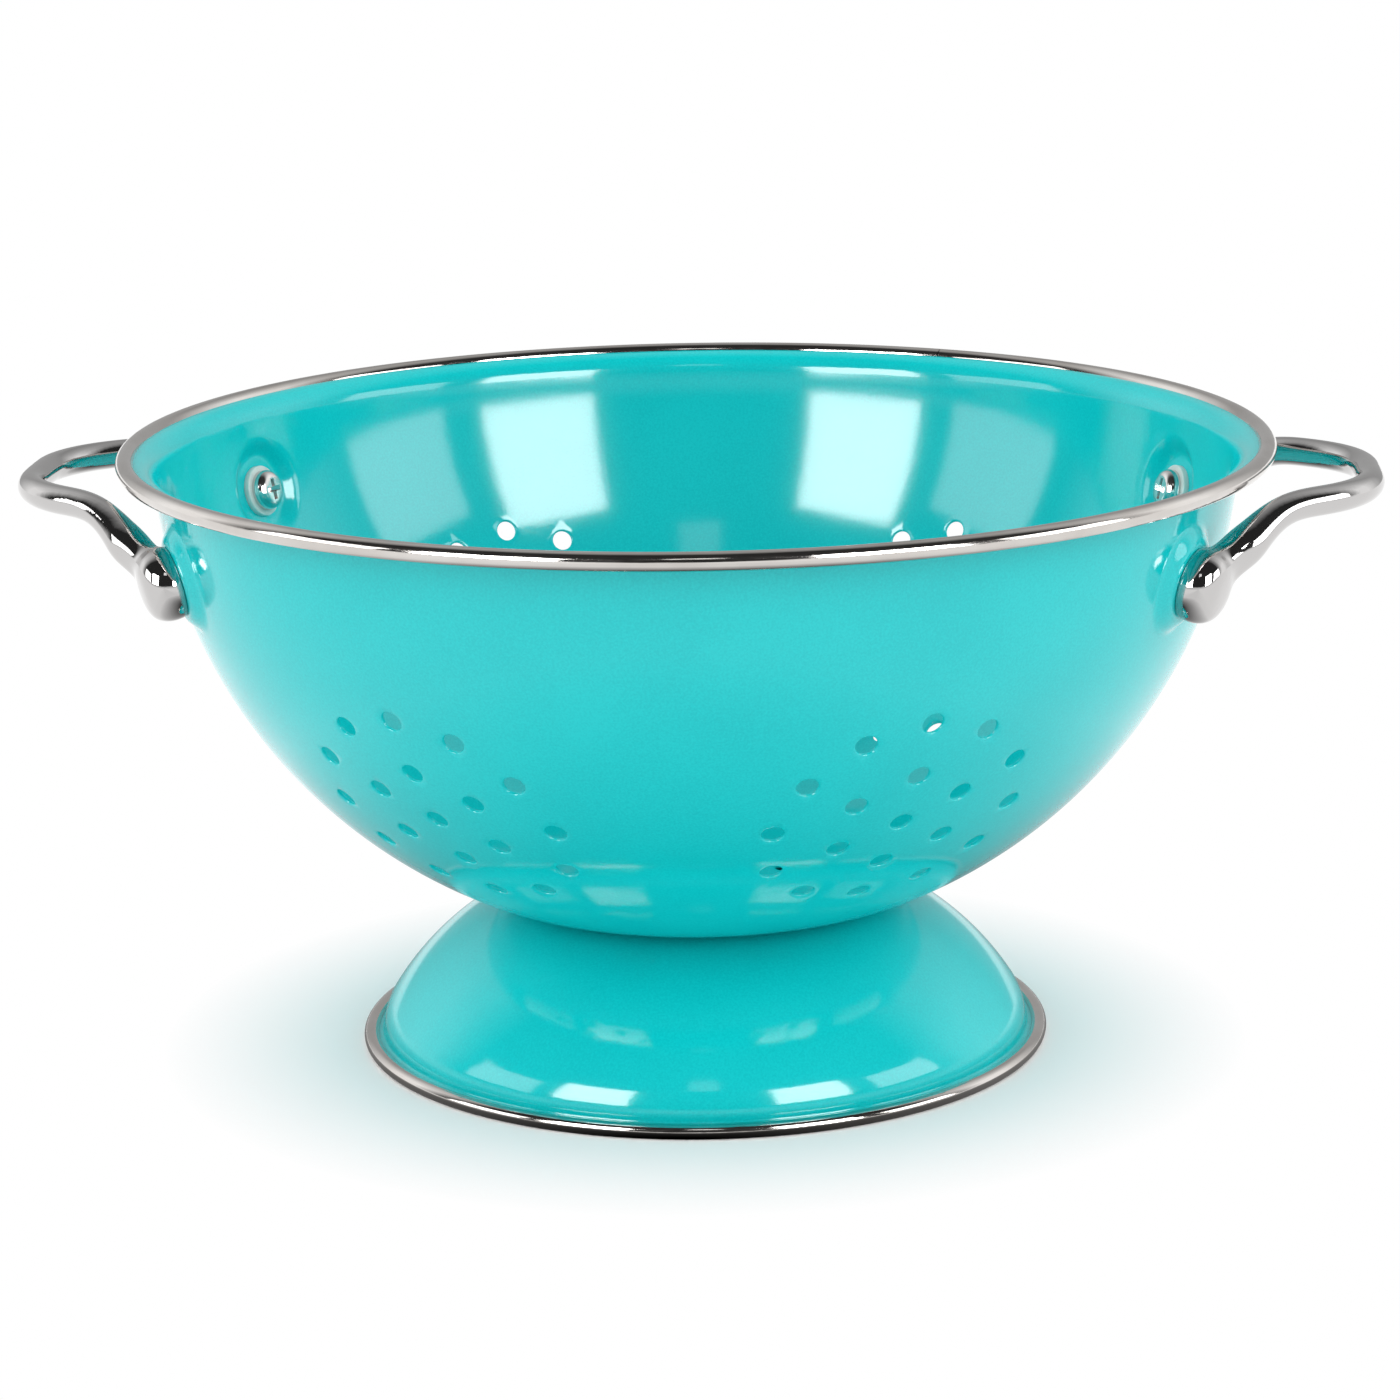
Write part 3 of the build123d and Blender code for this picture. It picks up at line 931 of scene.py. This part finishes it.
print("the gap in a boss runs from", GAP_LOW, "to", GAP_HIGH, "above its pad")

# %% The whole cage
BAR_SIDES = 8
BAR_SHRINK = 0.902
BAR_CAGE = BAR_RADIUS / BAR_SHRINK
BOSS_CLEAR = 13.5 * MM
SWELL_END = 34.0 * MM
SWELL_SHARE = 0.48


def ring_matrix(place, along, side):
    """A matrix at a place, its Z axis along the bar and its X axis as near to side as it can be."""
    z = along.normalized()
    x = (side - z * side.dot(z)).normalized()
    return Matrix.Translation(place) @ Matrix((x, z.cross(x), z)).transposed().to_4x4()


def bar_cage(away):
    """The cage's radius at a distance from the bar's root. The bar swells into its boss like a spoon."""
    share = min(1, max(0, (SWELL_END - away) / (SWELL_END - BOSS_CLEAR)))
    return BAR_CAGE * (1 + SWELL_SHARE * share * share)


def handle_cage():
    bm = bmesh.new()
    stations = bar_stations()
    back, front = HANDLE_FEET["right_back"], HANDLE_FEET["right_front"]
    roots = (stations[0], stations[-1])
    bar = [p for p in stations if min((p - root).length for root in roots) > BOSS_CLEAR]
    gaps = [add_boss(bm, back, bar[0]), add_boss(bm, front, bar[-1])]
    rings = []
    side = Vector((0, 0, 1))
    for index, place in enumerate(bar):
        before = bar[index - 1] if index else stations[0]
        after = bar[index + 1] if index + 1 < len(bar) else stations[-1]
        matrix = ring_matrix(place, after - before, side)
        away = min((place - root).length for root in roots)
        rings.append(add_ring(bm, matrix, bar_cage(away), BAR_SIDES))
    bridge_rings(bm, rings)
    bmesh.ops.bridge_loops(bm, edges=gaps[0] + ring_edges(rings[0]))
    bmesh.ops.bridge_loops(bm, edges=gaps[1] + ring_edges(rings[-1]))
    loose = [vert for vert in bm.verts if not vert.link_faces]
    bmesh.ops.delete(bm, geom=loose, context="VERTS")
    bmesh.ops.recalc_face_normals(bm, faces=bm.faces)
    return bm


print("the bar's cage grows from", round(BAR_CAGE, 5), "to", round(bar_cage(BOSS_CLEAR), 5))

# %% [markdown]
# The left handle is the right one turned half round, since both come from one mould. The blind hole
# for the screw is cut last, after the Subdivision Surface, so that it stays round and sharp.

# %% Make both handles
THREAD_RADIUS = 2.55 * MM
THREAD_DEPTH = 6.1 * MM
CASTING_LEVELS = 3


def make_handle(name, half_turn):
    bm = handle_cage()
    spin = Matrix.Rotation(half_turn, 4, "Z")
    bmesh.ops.transform(bm, matrix=spin, verts=bm.verts)
    handle = make_object(name, bm, CAST_POLISH)
    smooth = handle.modifiers.new("smooth", "SUBSURF")
    smooth.levels = CASTING_LEVELS
    smooth.render_levels = CASTING_LEVELS
    seats = [spin @ HANDLE_FEET[end] @ ON_PAD for end in ("right_front", "right_back")]
    drills = drill_out(handle, THREAD_RADIUS, 2 * THREAD_DEPTH, seats)
    return settle(handle, drills, sharp=50.0)


for node, half_turn in (("handle_right", 0), ("handle_left", math.pi)):
    handle = make_handle(node.replace("handle", "cast_handle"), half_turn)
    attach(handle, "root")
    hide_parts(node)

# %% [markdown]
# ## Screws and washers
# Each boss is held by a pan-head screw from inside the bowl, on a soft washer that keeps the enamel
# from chipping. The screw is spun in one piece about its own axis, which runs out of the wall, and a
# tapered cross cuts the recess in its head.

# %% Draw and cut one screw
SCREW_RADIUS = 2.5 * MM
SCREW_LENGTH = 8.0 * MM
SCREW_CHAMFER = 0.35 * MM
SCREW_SEGMENTS = 48
HEAD_RADIUS = 5.15 * MM
HEAD_HEIGHT = 3.2 * MM
HEAD_ROUND = 2.1 * MM
HEAD_STEPS = 8
RECESS_WIDTH = 1.4 * MM
RECESS_SPAN = 5.4 * MM
RECESS_DEPTH = 1.9 * MM
RECESS_TAPER = 0.45


def recess_punch():
    """Two tapered bars that cross, deep enough for the recess and proud of the head."""
    bm = bmesh.new()
    for turn in (0, math.pi / 2):
        bar = bmesh.ops.create_cube(bm, size=1)["verts"]
        bmesh.ops.scale(bm, vec=(RECESS_SPAN, RECESS_WIDTH, 2 * RECESS_DEPTH), verts=bar)
        deep = [vert for vert in bar if vert.co.z > 0]
        wide = [vert for vert in bar if vert.co.z < 0]
        bmesh.ops.scale(bm, vec=(RECESS_TAPER, RECESS_TAPER, 1), verts=deep)
        bmesh.ops.scale(bm, vec=(2 - RECESS_TAPER, 2 - RECESS_TAPER, 1), verts=wide)
        bmesh.ops.rotate(bm, verts=bar, cent=(0, 0, 0), matrix=Matrix.Rotation(turn, 3, "Z"))
    bmesh.ops.translate(bm, verts=bm.verts, vec=(0, 0, -HEAD_HEIGHT))
    return bm


def make_screw(name, seat):
    moves = [(HEAD_RADIUS - HEAD_ROUND,), (HEAD_ROUND, 90, HEAD_STEPS), (HEAD_HEIGHT - HEAD_ROUND,)]
    shank = (
        (SCREW_RADIUS, 0),
        (SCREW_RADIUS, SCREW_LENGTH - SCREW_CHAMFER),
        (SCREW_RADIUS - SCREW_CHAMFER, SCREW_LENGTH),
        (0, SCREW_LENGTH),
    )
    bm = draw_outline((0, -HEAD_HEIGHT), 0, moves)
    tip = max(bm.verts, key=lambda v: v.co.z)
    for radius, height in shank:
        tip = bmesh.ops.extrude_vert_indiv(bm, verts=[tip])["verts"][0]
        tip.co = (radius, 0, height)
    spin_outline(bm, SCREW_SEGMENTS)
    bmesh.ops.recalc_face_normals(bm, faces=bm.faces)
    bmesh.ops.transform(bm, matrix=seat, verts=bm.verts)
    screw = make_object(name, bm, SCREW_PLATING)
    punch = recess_punch()
    bmesh.ops.transform(punch, matrix=seat, verts=punch.verts)
    recess = make_object(name + "_recess", punch)
    cut(screw, recess)
    screw.modifiers["cut"].use_self = True
    return settle(screw, recess, sharp=35.0)


print("a screw reaches", SCREW_LENGTH, "from under its head")

# %% Draw one washer, and set all four of each
WASHER_RADIUS = 6.5 * MM
WASHER_BORE = 2.7 * MM
WASHER_THICKNESS = 1.5 * MM
WASHER_ROUND = 0.35 * MM
WASHER_ROUND_STEPS = 5
WASHER_SEGMENTS = 64


def make_washer(name, seat):
    across = WASHER_RADIUS - WASHER_BORE - WASHER_ROUND
    moves = [(across,), (WASHER_ROUND, 90, WASHER_ROUND_STEPS), (WASHER_THICKNESS - WASHER_ROUND,)]
    bm = draw_outline((WASHER_BORE, -WASHER_THICKNESS), 0, moves)
    rim = max(bm.verts, key=lambda v: v.co.z)
    back = bmesh.ops.extrude_vert_indiv(bm, verts=[rim])["verts"][0]
    back.co = (WASHER_BORE, 0, 0)
    front = min(bm.verts, key=lambda v: v.co.x + v.co.z)
    bmesh.ops.contextual_create(bm, geom=[back, front])
    spin_outline(bm, WASHER_SEGMENTS)
    bmesh.ops.recalc_face_normals(bm, faces=bm.faces)
    bmesh.ops.transform(bm, matrix=seat, verts=bm.verts)
    return settle(make_object(name, bm, WASHER_PLASTIC), sharp=50.0)


for end, foot in HANDLE_FEET.items():
    washer_seat = foot @ Matrix.Translation((0, 0, PAD_HEIGHT - SHEET))
    head_seat = washer_seat @ Matrix.Translation((0, 0, -WASHER_THICKNESS))
    washer = make_washer("sealing_washer_" + end, washer_seat)
    screw = make_screw("pan_head_screw_" + end, head_seat)
    for piece, node, slot in ((washer, "washer_", "washer_plastic"), (screw, "screw_", "screw_steel")):
        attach(piece, "root")
        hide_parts(node + end)

# %% [markdown]
# ## The studio
# The ground is pure white, and the enamel mirrors bright paper that is dark only close to the
# foot. A Light Path node tells the floor who looks at it. The camera sees plain paper with its cast
# shadow near the foot, and a plain white glow further out. Shiny surfaces see only the glow, with
# painted shade that fades it out towards the foot. The painted shade is narrower from left to right
# than from front to back, and painted light makes the glow a little stronger at both sides.

# %% What a ray sees
def choose(tree, factor, otherwise, value):
    """The value where the factor is one, and the other one elsewhere."""
    kept = combine(tree, "MULTIPLY", otherwise, combine(tree, "SUBTRACT", 1.0, factor))
    return combine(tree, "ADD", kept, combine(tree, "MULTIPLY", value, factor))


def ray_kinds(tree):
    """Two masks: the camera's own rays, and the rays that a shiny or clear surface sends on."""
    ray = tree.nodes.new("ShaderNodeLightPath").outputs
    return ray["Is Camera Ray"], combine(tree, "MAXIMUM", ray["Is Glossy Ray"], ray["Is Transmission Ray"])


print("ray helpers ready")

# %% Floor
FLOOR_HALF = 12.0
PAPER = (0.88, 0.88, 0.88)
# Shiny surfaces see painted shade on the floor near the foot and painted light to both sides.
PAINTED_SHADE_NARROWING = 1.5
PAINTED_SHADE_FADE = (0.085, 0.28)
SHADOW_FADE = (0.086, 0.135)
PAINTED_GLARE_RISE = (0.08, 0.26)
PAINTED_SIDE_GLARE = 1.15


def floor_glow(tree, place, shiny):
    """How strongly the floor glows: one for the camera, and for shiny surfaces painted shade near the foot
    with painted light to both sides.
    """
    narrowed = tree.nodes.new("ShaderNodeVectorMath")
    narrowed.operation = "MULTIPLY"
    narrowed.inputs[1].default_value = (PAINTED_SHADE_NARROWING, 1, 1)
    tree.links.new(place, narrowed.inputs[0])
    # Painted shade: for shiny surfaces the glow fades to dark towards the foot.
    painted_shade_mask = remap(tree, length(tree, narrowed.outputs[0]), *PAINTED_SHADE_FADE, 0.0, 1.0)
    aside = combine(tree, "ABSOLUTE", split(tree, place)["X"], 0.0)
    # Painted light: for shiny surfaces the glow is a little brighter to both sides.
    painted_glare = remap(tree, aside, *PAINTED_GLARE_RISE, 1.0, PAINTED_SIDE_GLARE)
    return choose(tree, shiny, 1.0, combine(tree, "MULTIPLY", painted_shade_mask, painted_glare))


def make_floor():
    bm = bmesh.new()
    bmesh.ops.create_grid(bm, x_segments=1, y_segments=1, size=FLOOR_HALF)
    material, tree, shader = new_material("studio_floor", Roughness=0.95, Base_Color=(*PAPER, 1))
    shader.inputs["Specular IOR Level"].default_value = 0.0
    place = tree.nodes.new("ShaderNodeTexCoord").outputs["Object"]
    camera_ray, shiny = ray_kinds(tree)
    glow = tree.nodes.new("ShaderNodeEmission")
    tree.links.new(floor_glow(tree, place, shiny), glow.inputs["Strength"])
    past_shadow = remap(tree, length(tree, place), *SHADOW_FADE, 0.0, 1.0)
    seen = combine(tree, "MULTIPLY", camera_ray, past_shadow)
    mix = tree.nodes.new("ShaderNodeMixShader")
    tree.links.new(combine(tree, "MAXIMUM", seen, shiny), mix.inputs[0])
    tree.links.new(shader.outputs[0], mix.inputs[1])
    tree.links.new(glow.outputs[0], mix.inputs[2])
    tree.links.new(mix.outputs[0], tree.nodes["Material Output"].inputs["Surface"])
    return make_object("floor", bm, material)


floor = make_floor()
print(floor.name, "with shadow to", SHADOW_FADE[1], "and shade to", PAINTED_SHADE_FADE[1])

# %% [markdown]
# The world does two things. As light it is soft and comes from all round: a little more from the
# sides and from above the horizon, less from straight overhead. As a reflection it is a studio: in
# front of the colander dark but for a pale strip at the horizon, behind it bright to the left and
# right, and grey in the middle and overhead. The camera itself sees plain white.

# %% The room
FILL_LEVEL = 1.0
FILL_SIDES = 1.4
FILL_LOW = 0.75
FILL_ABOVE = 1.28
FILL_ZENITH = 0.45
ROOM_LEVEL = 0.03
HORIZON_LEVEL = 0.85
BESIDE_LEVEL = 1.25
BACKDROP_LEVEL = 0.45
OVERHEAD_LEVEL = 0.25
SIDES_RISE = (0.3, 0.95)
ABOVE_RISE = (0.0, 0.35)
ZENITH_FADE = (0.6, 0.95)
HORIZON_FADE = (0.05, 0.1)
BACKDROP_FADE = (0.5, 0.85)
OVERHEAD_FADE = (0.4, 0.95)
BACK_RISE = (0.0, 0.3)


def room_light(tree, toward):
    """How much light comes from each direction."""
    aside = combine(tree, "ABSOLUTE", toward["X"], 0.0)
    sides = remap(tree, aside, *SIDES_RISE, FILL_LEVEL, FILL_LEVEL * FILL_SIDES)
    above = remap(tree, toward["Z"], *ABOVE_RISE, FILL_LOW, FILL_ABOVE)
    zenith = remap(tree, toward["Z"], *ZENITH_FADE, 1.0, FILL_ZENITH)
    return combine(tree, "MULTIPLY", sides, combine(tree, "MULTIPLY", above, zenith))


def room_mirrored(tree, toward):
    """What a shiny surface sees in each direction. Y is one straight behind the colander."""
    in_front = remap(tree, toward["Z"], *HORIZON_FADE, HORIZON_LEVEL, ROOM_LEVEL)
    behind = remap(tree, toward["Y"], *BACKDROP_FADE, BESIDE_LEVEL, BACKDROP_LEVEL)
    overhead = remap(tree, toward["Z"], *OVERHEAD_FADE, 1.0, OVERHEAD_LEVEL)
    back_half = remap(tree, toward["Y"], *BACK_RISE, 0.0, 1.0)
    return choose(tree, back_half, in_front, combine(tree, "MULTIPLY", behind, overhead))


def make_world():
    world = bpy.data.worlds.new("studio")
    bpy.context.scene.world = world
    world.use_nodes = True
    tree = world.node_tree
    toward = split(tree, tree.nodes.new("ShaderNodeTexCoord").outputs["Generated"])
    camera_ray, shiny = ray_kinds(tree)
    room = choose(tree, shiny, room_light(tree, toward), room_mirrored(tree, toward))
    background = tree.nodes["Background"].inputs
    background["Color"].default_value = (1, 1, 1, 1)
    tree.links.new(choose(tree, camera_ray, room, 1.0), background["Strength"])
    return world


print("world", make_world().name)

# %% [markdown]
# The photograph's highlights say where its windows are: to both sides of the camera, with a small
# light above it. Here they are area lamps that give no diffuse light, so the highlights can be
# bright without making the colours pale.

# %% The windows
WINDOW_DISTANCE = 2.5
WINDOW_EYE = 0.13
# Each has its azimuth from the front to the right, width, bottom and top in degrees, then its level.
WINDOWS = (
    ("window_right", 42, 27, 5, 33, 13.0),
    ("window_left", -35.5, 27, 5, 33, 14.0),
    ("window_far_right", 79, 27, 4, 27, 4.0),
    ("window_far_left", -72, 29, 4, 27, 3.2),
    ("ceiling_light", 4, 12, 37, 46, 1.3),
)


def add_window(name, azimuth, width, bottom, top, level):
    """A bright pane that faces the colander and shows in shiny surfaces."""
    across = 2 * WINDOW_DISTANCE * math.tan(math.radians(width / 2))
    low, high = (WINDOW_DISTANCE * math.tan(math.radians(angle)) for angle in (bottom, top))
    lamp = bpy.data.lights.new(name, "AREA")
    lamp.shape = "RECTANGLE"
    lamp.size, lamp.size_y = across, high - low
    lamp.energy = level * math.pi * across * (high - low)
    holder = bpy.data.objects.new(name, lamp)
    holder.visible_diffuse = False
    bpy.context.scene.collection.objects.link(holder)
    turn = math.radians(azimuth)
    middle = WINDOW_EYE + (low + high) / 2
    holder.location = (WINDOW_DISTANCE * math.sin(turn), -WINDOW_DISTANCE * math.cos(turn), middle)
    holder.rotation_euler = (math.pi / 2, 0, turn)
    print(name, "width", round(across, 2), "height", round(high - low, 2), "watts", round(lamp.energy, 1))


for window in WINDOWS:
    add_window(*window)

# %% [markdown]
# ## The camera
# The camera stands where the photograph's perspective puts it: a little to the right of the front,
# above the rim, and looking down by about fourteen degrees. Its lens is about 3.2 times as long as
# the sensor is wide, which frames the colander from a good metre away.

# %% Camera
CAMERA_DISTANCE = 1.0595
CAMERA_HEIGHT = 0.3455
CAMERA_AZIMUTH = 4.784
CAMERA_PITCH = 13.84
CAMERA_ROLL = -0.95
SENSOR_WIDTH = 36.0
FOCAL_SHARE = 3.16554
NEAR_CLIP = 0.05
FAR_CLIP = 60


def make_camera():
    camera = bpy.data.cameras.new("photo_camera")
    camera.sensor_width = SENSOR_WIDTH
    camera.lens = FOCAL_SHARE * SENSOR_WIDTH
    camera.clip_start = NEAR_CLIP
    camera.clip_end = FAR_CLIP
    holder = bpy.data.objects.new("photo_camera", camera)
    bpy.context.scene.collection.objects.link(holder)
    swing = Matrix.Rotation(math.radians(CAMERA_AZIMUTH), 3, "Z")
    tip = Matrix.Rotation(math.radians(90 - CAMERA_PITCH), 3, "X")
    roll = Matrix.Rotation(math.radians(CAMERA_ROLL), 3, "Z")
    place = swing @ Vector((0, -CAMERA_DISTANCE, CAMERA_HEIGHT))
    holder.matrix_world = Matrix.Translation(place) @ (swing @ tip @ roll).to_4x4()
    bpy.context.scene.camera = holder
    print("camera at", [round(v, 4) for v in place], "with a lens of", round(camera.lens, 1), "mm")


make_camera()
bpy.context.scene.view_settings.view_transform = "Standard"

# %% [markdown]
# The scene is brought up to date at the end. The finished colander must be no larger than the CAD
# model.

# %% Finish
bpy.context.view_layer.update()
